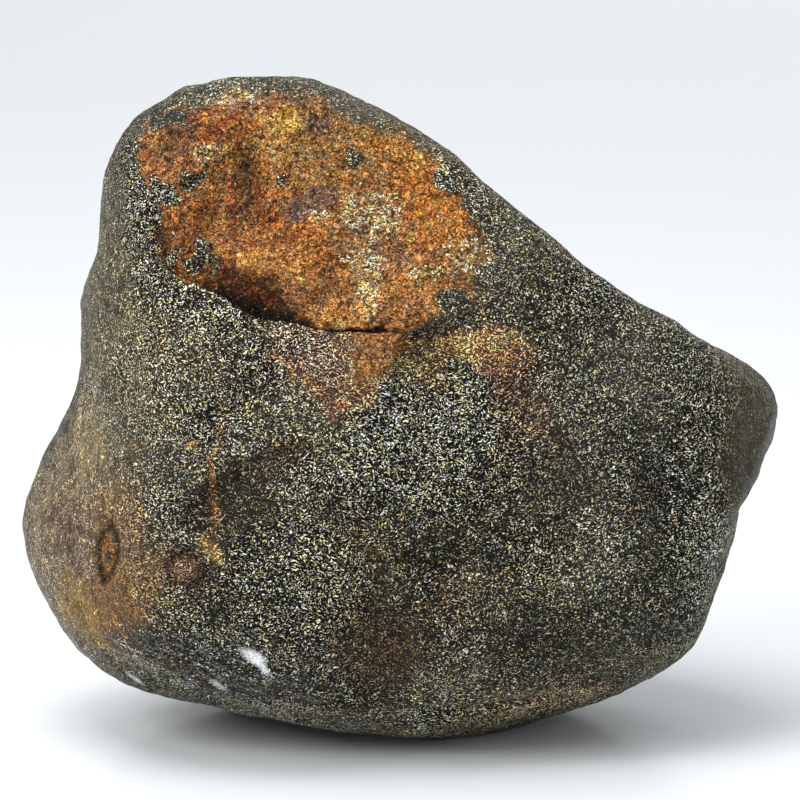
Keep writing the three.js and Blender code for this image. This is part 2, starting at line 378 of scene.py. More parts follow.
def ringsOut(places, ring):
    # 0 in the middle of the ring, 1 on it, and no more than 2
    turn = math.radians(ring["slant"])
    x, z = places[:, 0] - ring["at"][0], places[:, 2] - ring["at"][1]
    across = abs(x * math.cos(turn) + z * math.sin(turn)) / ring["size"][0]
    upwards = abs(z * math.cos(turn) - x * math.sin(turn)) / ring["size"][1]
    pointed = (across**1.5 + upwards**1.5) ** (1 / 1.5)
    return (pointed + 0.22 * unevenness(places, 0.5, 71)).clip(0, 2)


def pressForms(piece):
    places, normals = placesOf(piece), normalsOf(piece)
    front = atFront(places)
    lift = np.full(len(places), skin["lift"])
    for dent in dents:
        lift += dent["rise"] * nearness(places, dent["at"], dent["size"], dent["slant"]) ** 1.5
    wandering = places + skin["marksStray"] * unevenness(places, 2.0, 2)[:, None]
    for groove in grooves:
        away, strength, _ = besideLine(wandering, groove["line"])
        lift += groove["rise"] * np.exp(-((away / groove["width"]) ** 2)) * strength * front
    lean = np.zeros(len(places))
    for step in steps:
        away, strength, side = besideLine(wandering, step["line"])
        lift += riseBeside(step, away, side) * strength * front
        if "overhang" in step:
            onBank = smooth(away * side, -0.2, 0.2)
            reach = step["overhang"] * np.exp(-away / step["overhangWidth"])
            lean += reach * onBank * strength * front
    for ring in rings:
        away = ringsOut(wandering, ring)
        onRim = np.exp(-(((away - 1) / ringWidths["rim"]) ** 2))
        lift += (ring["rim"] * onRim + ring["middle"] * smooth(away, 0.7, 0.2)) * front
    upAndBack = np.array([0, 0.45, 0.9])
    moveTo(piece, places + normals * lift[:, None] + upAndBack * lean[:, None])
    print("forms pressed")


def roughen(piece, masks):
    for name, values in masks.items():
        group = piece.vertex_groups.new(name=name)
        for index, value in enumerate(values):
            if value > 0.01:
                group.add([index], float(value), "REPLACE")
    for layer in roughness:
        texture = bpy.data.textures.new(layer["name"], layer["kind"])
        for key, value in layer["texture"].items():
            setattr(texture, key, value)
        applyModifier(
            piece, "DISPLACE", texture=texture, texture_coords="LOCAL", mid_level=layer.get("middle", 0.5),
            strength=layer["height"] * mm, vertex_group=layer.get("group", ""),
        )
    piece.vertex_groups.clear()
    print("skin roughened")


# Layers of unevenness: height in mm, and the mask that each keeps to.
roughness = [
    {"name": "swell", "kind": "CLOUDS", "height": 0.5,
     "texture": {"noise_scale": 3.8 * mm, "noise_depth": 1}},
    {"name": "crustLumps", "kind": "CLOUDS", "height": 0.3, "group": "bumpy",
     "texture": {"noise_scale": 1.5 * mm, "noise_depth": 1}},
    {"name": "crustGrain", "kind": "CLOUDS", "height": 0.16, "group": "crust",
     "texture": {"noise_scale": 0.9 * mm, "noise_depth": 2}},
    {"name": "rustLumps", "kind": "CLOUDS", "height": 1.1, "group": "grit",
     "texture": {"noise_scale": 2.0 * mm, "noise_depth": 3, "noise_basis": "VORONOI_F2_F1"}, "middle": 0.4},
    {"name": "rustGrit", "kind": "CLOUDS", "height": 0.6, "group": "grit",
     "texture": {"noise_scale": 0.7 * mm, "noise_depth": 2}},
]


def levelFoot(piece):
    places = placesOf(piece)
    places[:, 2] = np.maximum(places[:, 2], 0)
    moveTo(piece, places)


# Colours of the crust and of the break.
crust = {
    "dark": linear(72, 71, 62),
    "mid": linear(96, 92, 78),
    "brown": linear(98, 84, 60),
    "brownShare": 0.6,
    "fray": [(0.7, 1.6, 4), (0.5, 0.7, 8)],  # how ragged every stain's outline is
    "scattered": linear(122, 94, 70),  # in small bits all over
    "scatteredShare": 0.6,
    "stainsStray": 1.5,  # how far the stains' outlines wander, in mm
    "lightness": 0.64,  # all the colours by place are as seen in bright light
}
rust = {
    "base": linear(186, 126, 76),
    "deep": linear(138, 84, 48),
    "deepShare": 0.7,
    "bright": linear(218, 154, 86),
}

# Stains of the crust, with a few patches of painted shade in hollows and on undersides: colour, strength,
# and where, as (x, y, z), half sizes and slant.
stains = [
    {"name": "centrePale", "colour": linear(106, 101, 84), "strength": 0.6,
     "at": (2, -20, 27), "size": (13, 9, 8), "slant": 0},
    {"name": "leftTan", "colour": linear(95, 87, 63), "strength": 0.8,
     "at": (-26, -10, 36), "size": (9, 12, 17), "slant": 0},
    {"name": "midLeftPale", "colour": linear(118, 108, 90), "strength": 0.5,
     "at": (-11, -18, 29), "size": (8, 9, 6), "slant": 20},
    {"name": "frontLeftTan", "colour": linear(116, 104, 78), "strength": 0.7,
     "at": (-17, -17, 32), "size": (7, 9, 8), "slant": 0},
    {"name": "bulge", "colour": linear(136, 114, 86), "strength": 0.95,
     "at": (-28, -12, 18), "size": (11, 14, 16), "slant": 0},
    {"name": "bulgeOrange", "colour": linear(134, 92, 48), "strength": 0.9,
     "at": (-21.5, -15.5, 13.5), "size": (4.4, 6, 6.4), "slant": 10},
    {"name": "bulgeYellow", "colour": linear(150, 114, 48), "strength": 0.9,
     "at": (-24.5, -12, 11.5), "size": (4.2, 6, 3.6), "slant": -20},
    {"name": "bulgeHighYellow", "colour": linear(146, 126, 82), "strength": 0.75,
     "at": (-25, -10, 24.5), "size": (3.4, 6, 3.6), "slant": 0},
    {"name": "bulgePurple", "colour": linear(112, 86, 74), "strength": 0.8,
     "at": (-26, -11, 17.5), "size": (3, 6, 3.4), "slant": -20},
    {"name": "bulgeBrown", "colour": linear(136, 102, 68), "strength": 0.8,
     "at": (-20.6, -15.5, 19.5), "size": (3.4, 6, 4.4), "slant": 20},
    {"name": "bulgeEdge", "colour": linear(128, 100, 64), "strength": 0.8,
     "at": (-19.4, -18.2, 15.5), "size": (2.2, 5, 4.2), "slant": 0},
    {"name": "blisterOchre", "colour": linear(176, 136, 66), "strength": 0.85,
     "at": (-14.9, -20, 17.9), "size": (2.2, 5, 1.3), "slant": -35},
    {"name": "blisterRed", "colour": linear(104, 72, 56), "strength": 0.7,
     "at": (-17.2, -20, 16.0), "size": (1.2, 5, 1.4), "slant": 0},
    {"name": "archOlive", "colour": linear(60, 54, 38), "strength": 0.85,
     "at": (-13, -19, 21.5), "size": (4.5, 6, 4.6), "slant": 30},
    {"name": "archBrown", "colour": linear(84, 64, 42), "strength": 0.65,
     "at": (-9.5, -19.5, 24.6), "size": (4.2, 6, 1.4), "slant": 25},
    {"name": "creaseDark", "colour": linear(58, 56, 50), "strength": 0.6,
     "at": (-14, -18.5, 28.5), "size": (2.6, 6, 3.2), "slant": 20},
    {"name": "chinBrown", "colour": linear(64, 52, 36), "strength": 0.75,
     "at": (0, -20, 11), "size": (5.5, 6, 8), "slant": 0},
    {"name": "chinOrange", "colour": linear(86, 62, 40), "strength": 0.7,
     "at": (-1, -19, 8.0), "size": (2.6, 6, 5), "slant": -8},
    {"name": "chinGold", "colour": linear(92, 76, 48), "strength": 0.5,
     "at": (5, -20, 13.8), "size": (3.4, 6, 2), "slant": 0},
    {"name": "hollowOchre", "colour": linear(228, 146, 72), "strength": 0.95,
     "at": (5.4, -18, 33.2), "size": (5.6, 6, 2.4), "slant": -14},
    {"name": "hollowOlive", "colour": linear(120, 96, 58), "strength": 0.85,
     "at": (2.2, -18.5, 32.2), "size": (3.0, 6, 2.6), "slant": 0},
    # painted shadow in the notch beside the spur
    {"name": "notchShade", "colour": linear(58, 55, 46), "strength": 0.9,
     "at": (2.4, -18.5, 34.5), "size": (3.2, 6, 1.1), "slant": 22},
    {"name": "hollowPurple", "colour": linear(92, 66, 54), "strength": 0.9,
     "at": (8.8, -18.5, 31.0), "size": (4.0, 6, 2.8), "slant": -30},
    {"name": "flankRed", "colour": linear(104, 70, 50), "strength": 0.65,
     "at": (10.6, -18.8, 26.2), "size": (3.6, 6, 6.6), "slant": 22},
    {"name": "flankBrown", "colour": linear(86, 70, 54), "strength": 0.6,
     "at": (11.4, -18.8, 23.5), "size": (2.2, 6, 3.0), "slant": 0},
    {"name": "slopeDark", "colour": linear(72, 70, 62), "strength": 0.6,
     "at": (13, -16, 35), "size": (8, 9, 5), "slant": -30},
    # painted shade along the groove down the right flank
    {"name": "rightShade", "colour": linear(54, 51, 46), "strength": 0.5,
     "at": (19.5, -16, 20), "size": (4, 9, 8), "slant": 0},
    # painted shade in the pocket above the chin
    {"name": "pocketShade", "colour": linear(42, 42, 37), "strength": 0.7,
     "at": (3.8, -19.7, 17.6), "size": (5.6, 6, 2.6), "slant": 0},
    # painted shade low on the right, where the skin faces down
    {"name": "lowShade", "colour": linear(46, 43, 36), "strength": 0.65,
     "at": (12, -18, 10), "size": (8, 8, 5), "slant": 12},
    {"name": "glossBlack", "colour": linear(44, 41, 33), "strength": 0.9,
     "at": (-13, -17, 8.0), "size": (12, 8, 3.0), "slant": -13},
    {"name": "endOlive", "colour": linear(71, 61, 38), "strength": 0.9,
     "at": (26.5, -10, 24), "size": (4.2, 9, 7.5), "slant": 0},
    {"name": "heelBrown", "colour": linear(76, 60, 44), "strength": 0.7,
     "at": (24.8, -9, 12), "size": (2.8, 8, 5), "slant": 0},
    {"name": "flankOlive", "colour": linear(74, 66, 54), "strength": 0.75,
     "at": (10, -19, 21.5), "size": (6.5, 8, 7.5), "slant": 0},
    {"name": "flankHigh", "colour": linear(74, 71, 62), "strength": 0.7,
     "at": (15.5, -18, 25.5), "size": (4, 8, 4), "slant": 0},
    {"name": "underSpurDark", "colour": linear(68, 66, 58), "strength": 0.75,
     "at": (-11.4, -18.8, 31.0), "size": (2.8, 6, 2.2), "slant": 0},
    {"name": "heelDark", "colour": linear(58, 57, 50), "strength": 0.7,
     "at": (19.5, -13, 11), "size": (5, 8, 4), "slant": 0},
    {"name": "soleDark", "colour": linear(60, 54, 42), "strength": 0.7,
     "at": (-2.5, -17, 6.2), "size": (4.5, 7, 2.6), "slant": 0},
    {"name": "crownLeftDark", "colour": linear(62, 61, 54), "strength": 0.8,
     "at": (-19, -6, 48.5), "size": (6.5, 9, 5), "slant": 30},
    {"name": "crownEdgeDark", "colour": linear(66, 63, 56), "strength": 0.75,
     "at": (0, -5, 50), "size": (9, 7, 3.5), "slant": -25},
    {"name": "crownRimDark", "colour": linear(60, 58, 52), "strength": 0.85,
     "at": (-10, -5, 52.2), "size": (10, 5, 3), "slant": 0},
    {"name": "backRust", "colour": linear(112, 78, 50), "strength": 0.65,
     "at": (-6, 20, 30), "size": (9, 8, 6), "slant": 20},
    {"name": "backTan", "colour": linear(112, 102, 80), "strength": 0.6,
     "at": (13, 19, 34), "size": (10, 9, 8), "slant": -30},
    {"name": "backDark", "colour": linear(50, 48, 44), "strength": 0.6,
     "at": (4, 21, 15), "size": (10, 8, 7), "slant": 0},
    {"name": "backOchre", "colour": linear(128, 102, 62), "strength": 0.75,
     "at": (-21, 13, 15), "size": (7, 9, 7), "slant": 0},
    {"name": "backRed", "colour": linear(106, 70, 50), "strength": 0.6,
     "at": (21, 15, 17), "size": (5, 9, 6), "slant": 10},
    {"name": "backHeelRust", "colour": linear(112, 80, 54), "strength": 0.65,
     "at": (-5, 16, 4), "size": (11, 9, 3.4), "slant": -6},
    {"name": "crownTan", "colour": linear(116, 106, 86), "strength": 0.6,
     "at": (-4, 11, 48), "size": (11, 10, 6), "slant": -20},
    {"name": "sideBrown", "colour": linear(112, 84, 58), "strength": 0.6,
     "at": (-28, 4, 31), "size": (5, 7, 6), "slant": 0},
    {"name": "endBrown", "colour": linear(100, 80, 54), "strength": 0.6,
     "at": (28, 5, 22), "size": (5, 7, 8), "slant": 0},
    {"name": "hem", "colour": linear(150, 112, 84), "strength": 0.85,
     "at": (12, -14, 4.2), "size": (6.5, 6, 1.8), "slant": 12},
]
# Small spots that keep their shape. The four glare spots are painted highlights.
spots = [
    {"name": "orangeSpot", "colour": linear(186, 112, 36), "strength": 0.9,
     "at": (-15.8, -19, 25.9), "size": (0.45, 4, 0.4), "slant": 0},
    {"name": "redSpot", "colour": linear(170, 70, 30), "strength": 0.9,
     "at": (-4.5, -20, 29.1), "size": (0.7, 4, 0.4), "slant": 0},
    # painted highlights: white reflections on the glossy crust, painted into the colour
    {"name": "glare", "colour": 1.5 * linear(248, 250, 255), "ragged": 0.75, "strength": 1,
     "at": (-11.2, -19.4, 9.4), "size": (1.5, 4, 0.75), "slant": -35},
    {"name": "glareTail", "colour": 1.4 * linear(236, 242, 250), "ragged": 0.75, "strength": 0.9,
     "at": (-10.4, -19.4, 8.4), "size": (1.0, 4, 0.4), "slant": -55},
    {"name": "glareLow", "colour": 1.3 * linear(206, 212, 214), "ragged": 0.75, "strength": 0.8,
     "at": (-14.0, -16.5, 6.4), "size": (1.2, 4, 0.35), "slant": -38},
    {"name": "glareLeft", "colour": 1.4 * linear(226, 234, 238), "ragged": 0.75, "strength": 0.8,
     "at": (-20.6, -11, 6.0), "size": (1.2, 4, 0.35), "slant": -38},
    {"name": "fibre", "colour": linear(226, 222, 214), "strength": 0.9,
     "at": (-23.3, -9, 28.2), "size": (1.0, 6, 0.12), "slant": -14},
    {"name": "scratch", "colour": linear(210, 210, 204), "strength": 0.9,
     "at": (-17.4, -16, 28.1), "size": (0.42, 5, 0.13), "slant": 48},
]

# Spots inside the break, in the same way, with one band of painted shade above the ledge.
rustSpots = [
    # painted shade: a dark brown band on the break's floor just above the ledge, where the lip hides the
    # light
    {"name": "creviceShadeBand", "colour": linear(66, 40, 24), "strength": 0.9,
     "at": (-11.2, -18, 36.9), "size": (4.2, 6, 2.0), "slant": -26},
    {"name": "underGroove", "colour": linear(124, 82, 52), "strength": 0.7,
     "at": (-11.6, -13.5, 42.4), "size": (2.2, 5, 1.7), "slant": 0},
    {"name": "deepCorner", "colour": linear(120, 62, 28), "strength": 0.7,
     "at": (-12.5, -16.5, 37.8), "size": (4.2, 5, 1.6), "slant": -26},
    {"name": "leftCorner", "colour": linear(112, 74, 46), "strength": 0.7,
     "at": (-18.2, -14.5, 40.2), "size": (1.4, 5, 3.2), "slant": 20},
    {"name": "grooveDark", "colour": linear(98, 72, 46), "strength": 0.8,
     "at": (-12.0, -12.2, 45.4), "size": (1.3, 5, 3.4), "slant": -8},
    {"name": "besideGroove", "colour": linear(206, 142, 72), "strength": 0.7,
     "at": (-14.2, -12.2, 45.6), "size": (1.5, 5, 2.4), "slant": -20},
    {"name": "rightBright", "colour": linear(216, 138, 64), "strength": 0.75,
     "at": (2.4, -15.5, 44.4), "size": (4.4, 6, 6), "slant": 25},
    {"name": "floorOrange", "colour": linear(190, 110, 46), "strength": 0.5,
     "at": (-8, -15, 41), "size": (7, 6, 3), "slant": -8},
    {"name": "upperOchre", "colour": linear(184, 140, 80), "strength": 0.7,
     "at": (-5, -13, 48), "size": (7, 5, 4), "slant": -15},
    {"name": "topLeftRed", "colour": linear(168, 94, 52), "strength": 0.7,
     "at": (-15, -10, 49.2), "size": (4.4, 5, 3), "slant": 20},
    {"name": "leftRed", "colour": linear(138, 80, 42), "strength": 0.75,
     "at": (-16.8, -14, 41), "size": (3.2, 6, 3), "slant": 0},
    {"name": "yellowSpot", "colour": linear(240, 184, 84), "strength": 0.9,
     "at": (-8.8, -11.5, 49.9), "size": (1.5, 3, 1.3), "slant": 0},
    {"name": "midGrey", "colour": linear(156, 118, 82), "strength": 0.65,
     "at": (-2.2, -15.8, 41), "size": (4.2, 5, 4.8), "slant": -10},
    {"name": "purpleGrey", "colour": linear(136, 104, 96), "strength": 0.8,
     "at": (-6.9, -14, 43.6), "size": (3.4, 4, 1.2), "slant": 28},
    {"name": "purpleGreyHigh", "colour": linear(140, 108, 92), "strength": 0.7,
     "at": (-6.2, -12, 49.2), "size": (1.7, 4, 1.5), "slant": 0},
    {"name": "topGrey", "colour": linear(160, 128, 100), "strength": 0.75,
     "at": (-11, -9.5, 51.2), "size": (6, 4, 1.5), "slant": 0},
    {"name": "highLeft", "colour": linear(126, 92, 62), "strength": 0.7,
     "at": (-17.0, -11.5, 47.8), "size": (2.6, 4, 2.4), "slant": 30},
    {"name": "highRight", "colour": linear(216, 150, 74), "strength": 0.75,
     "at": (0.2, -12.5, 47.8), "size": (4.6, 5, 2.6), "slant": -35},
]

# Scraps of crust left on the break.
scraps = [
    {"name": "cornerScrap", "at": (-15.1, -15.6, 39.5), "size": (1.7, 5, 1.5), "slant": -35},
    {"name": "cornerScrapLeft", "at": (-17.4, -15.2, 39.7), "size": (1.3, 5, 1.0), "slant": -10},
    {"name": "rimScrap", "at": (-18.4, -12, 44.2), "size": (2.2, 5, 1.6), "slant": 20},
    {"name": "rimScrapInner", "at": (-16.2, -12.5, 45.3), "size": (2.0, 5, 0.9), "slant": 30},
    {"name": "highScrap", "at": (-18.2, -10, 49.0), "size": (1.3, 5, 1.0), "slant": 30},
    {"name": "highScrapRight", "at": (-16.6, -10.5, 49.4), "size": (1.2, 5, 0.9), "slant": -30},
    {"name": "rightScrap", "at": (3.7, -15.3, 45.6), "size": (1.5, 5, 1.2), "slant": -20},
    {"name": "rightScrapLow", "at": (6.2, -16.2, 44.0), "size": (1.5, 5, 1.6), "slant": 0},
    {"name": "rightScrapEdge", "at": (6.6, -17.5, 38.6), "size": (1.7, 5, 1.3), "slant": 0},
    {"name": "topScrap", "at": (-3.6, -13.2, 46.8), "size": (1.1, 5, 0.9), "slant": 20},
    {"name": "middleScrap", "at": (-8.9, -13, 45.2), "size": (0.9, 5, 0.7), "slant": 0},
    {"name": "lowScrap", "at": (3.5, -18.3, 37.0), "size": (1.7, 5, 0.9), "slant": 5},
    {"name": "ledgeScrap", "at": (3.9, -18.4, 35.8), "size": (2.3, 5, 1.3), "slant": 30},
]


def stainOver(colours, places, spot, ragged):
    near = nearness(places, spot["at"], spot["size"], spot["slant"])
    share = smooth(near + 0.55 * ragged * smooth(near, 0, 0.15), 0.1, 0.85)
    return blended(colours, spot["colour"], share * spot["strength"])


def crustColours(places, ragged):
    tone = smooth(unevenness(places, 9, 11) + 0.4 * ragged, -0.5, 0.5)
    colours = blended(crust["dark"], crust["mid"], tone)
    browner = smooth(unevenness(places, 6, 21) + 0.3 * ragged, 0.05, 0.5)
    colours = blended(colours, crust["brown"], crust["brownShare"] * browner)
    colours = blended(colours, crust["scattered"], crust["scatteredShare"] * smooth(ragged, 0.3, 0.8))
    straying = np.stack([unevenness(places, 3.2, seed) for seed in (101, 103, 105)], axis=1)
    straying = places + crust["stainsStray"] * straying
    for spot in stains:
        colours = stainOver(colours, straying, spot, ragged)
    for spot in spots:
        colours = stainOver(colours, places, spot, spot.get("ragged", 0.3) * ragged)
    return colours


def spurOver(colours, places, ragged, share):
    rim = np.exp(-((depthInside(places, spur["outline"]) / spur["rim"]) ** 2))
    rim = rim * smooth(places[:, 2], *spur["rimBelowZ"])
    orange = np.maximum(smooth(places[:, 0] + 4 * ragged, *spur["turnsOrangeX"]), rim)
    return blended(colours, blended(spur["purple"], spur["orange"], orange), spur["strength"] * share)


def marksOver(colours, places, ragged):
    # the vein, the pit and the blister
    wandering = places + 0.25 * unevenness(places, 1.1, 6)[:, None]
    front = atFront(places)
    for groove in grooves:
        if "colour" in groove:
            away, strength, _ = besideLine(wandering, groove["line"])
            part = np.exp(-((away / groove["width"]) ** 2)) * strength * front
            colours = blended(colours, groove["colour"], 0.7 * part * smooth(ragged, -0.6, 0.1))
    for ring in rings:
        away = ringsOut(wandering, ring)
        onRim = np.exp(-(((away - 1) / ringWidths["paintedRim"]) ** 2))
        colours = blended(colours, ring["middleColour"], 0.85 * smooth(away, 0.9, 0.6) * front)
        colours = blended(colours, ring["rimColour"], 0.85 * onRim * front)
        if "coreColour" in ring:
            colours = blended(colours, ring["coreColour"], 0.8 * smooth(away, 0.4, 0.2) * front)
    return colours


def rustColours(places, ragged):
    warmth = smooth(unevenness(places, 3.5, 31) + 0.5 * ragged, -0.5, 0.5)
    colours = blended(rust["base"], rust["bright"], warmth)
    deeper = smooth(unevenness(places, 2.2, 41) + 0.4 * ragged, 0.0, 0.5)
    colours = blended(colours, rust["deep"], rust["deepShare"] * deeper)
    for spot in rustSpots:
        colours = stainOver(colours, places, spot, ragged)
    return colours


def paint(piece, masks):
    places = placesOf(piece)
    ragged = raggedness(places, crust["fray"])
    colours = crustColours(places, ragged)
    colours = spurOver(colours, places, ragged, masks["spur"])
    colours = marksOver(colours, places, ragged)
    colours = blended(colours, rustColours(places, ragged), masks["rust"])
    # painted shade in the crevice above the ledge
    colours = blended(colours, crevice["colour"], masks["crevice"])
    colours = colours * crust["lightness"]
    chroma = 1 - colours.min(axis=1) / colours.max(axis=1)
    keepMask(piece, "stained", smooth(chroma, 0.4, 0.85))
    attribute = piece.data.color_attributes.new("ground", "FLOAT_COLOR", "POINT")
    attribute.data.foreach_set("color", np.hstack([colours, np.ones((len(colours), 1))]).ravel())
    print("stone painted")


def keepMask(piece, name, values):
    attribute = piece.data.attributes.new(name, "FLOAT", "POINT")
    attribute.data.foreach_set("value", values.astype(np.float32))


# How thick the pale glints lie: share, where, half sizes and slant.
glints = [
    (1.1, (3, -20, 26), (12, 9, 10), 0),
    (1.32, (-8, -20, 15), (8, 8, 7), 0),
    (1.4, (-12, -17, 8), (13, 8, 4), -13),
    (1.35, (23, -14, 17), (4, 9, 11), 10),
    (1.35, (-19, -14, 42), (4, 7, 9), 10),
    (1.1, (-14, -17, 36), (8, 7, 3), -12),
    (0.8, (-14, -18, 28), (8, 8, 8), 0),
    (0.7, (10, -19, 20), (9, 8, 9), 0),
]


def glintMask(places):
    share = 0.8 + 0.3 * unevenness(places, 5, 51)
    for strength, at, size, slant in glints:
        share = np.maximum(share, strength * nearness(places, at, size, slant) ** 0.5)
    # no pale strokes under the painted highlights
    for spot in spots:
        if spot["name"].startswith("glare"):
            share = share * (1 - nearness(places, spot["at"], spot["size"], spot["slant"]) ** 0.5)
    share = share * (1 - 0.5 * wornMask(places)) * (1 - 0.35 * smooth(places[:, 2], 46, 50))
    return share.clip(0, 1.2)


# Where the crust is worn to a smooth brown skin: how far, where and half sizes.
wornPatches = [
    (1.0, (-29, -10, 17), (15, 19, 16)),
    (0.75, (-28, -4, 38), (12, 20, 18)),
    (0.8, (29, -8, 24), (7, 11, 11)),
    (0.65, (-26, 13, 24), (11, 12, 15)),
    (0.5, (8, 21, 8), (14, 9, 7)),
    (0.5, (22, 15, 32), (11, 10, 8)),
    (0.45, (-8, 12, 50), (12, 10, 6)),
]
wornFray = [(0.6, 3.6, 61), (0.4, 1.3, 63), (0.25, 0.6, 65)]


def wornMask(places):
    ragged = raggedness(places, wornFray)
    share = np.zeros(len(places))
    for strength, at, size in wornPatches:
        share = np.maximum(share, strength * nearness(places, at, size))
    return smooth(share + 0.45 * ragged * smooth(share, 0, 0.2), 0.08, 0.75)


# Where the crust looks wet: it is smoother there and carries pale streaks of painted sheen. How far, where,
# half sizes and slant.
glossBands = [
    (0.7, (-14, -17.5, 7.5), (11, 8, 3.6), -14),
    (0.3, (-11.0, -19.6, 8.8), (1.5, 3, 0.9), -25),
]


def glossMask(places):
    share = np.zeros(len(places))
    for strength, at, size, slant in glossBands:
        share += strength * smooth(nearness(places, at, size, slant), 0, 0.5)
    return share


# The pale strokes of the crust. A pair is for plain crust and for stained crust.
strokeLook = {
    "perMm": 10.5,  # how fine they are
    "start": 0.525,  # a higher start leaves fewer
    "full": 0.705,
    "sharpness": 1.7,
    "clustering": 0.14,
    "moreOnStains": 0.03,
    "fewerInTheDark": 0.035,
    "ownTint": (0.3, 0.85),  # how much they take on the crust's own colour
    "brightness": (15.6, 8.9),
    "gapDepth": (1.06, 0.84),
    "creamTint": (0.98, 1.0, 0.86),
    "bluishTint": (0.92, 1.0, 1.04),
    "goldTint": (1.08, 1.0, 0.62),
    "deepGoldTint": (1.32, 1.0, 0.38),
    "deepGoldTintBluish": (1.12, 1.0, 0.62),
}
sheenStreakLook = {"slant": -24, "drawnOut": (0.5, 1.0, 4.0), "perMm": 1.2, "colour": (0.85, 0.86, 0.80)}
freckleLook = {"perMm": 2.6, "strength": 0.75, "colour": (0.16, 0.065, 0.022)}
rustLook = {
    "cellsPerMm": 2.3,
    "fineCellsPerMm": 5.0,
    "clods": (0.78, 1.34),  # darkest and brightest
    "fine": (0.52, 2.0),
    "paintedSparkle": 0.6,
    "crumbs": 0.9,
    "crumbColours": ((0.80, 0.73, 0.52), (0.74, 0.55, 0.20)),
    "pits": 0.88,
    "pitColour": (0.030, 0.018, 0.011),
}
# Tints of the rust: size per mm, where the noise starts and ends it, its offset, and its colour shift.
rustTints = [
    (0.9, 0.53, 0.63, 31.0, (1.1, 1.3, 0.95)),
    (1.1, 0.53, 0.62, 33.0, (0.60, 0.85, 1.6)),
    (0.8, 0.50, 0.62, 35.0, (1.0, 0.66, 0.5)),
    (2.4, 0.58, 0.66, 37.0, (1.6, 1.6, 1.2)),
]
surface = {"specular": 0.12, "rustRoughness": 0.9, "crustRoughness": (0.45, 0.75), "relief": 0.2 * mm}


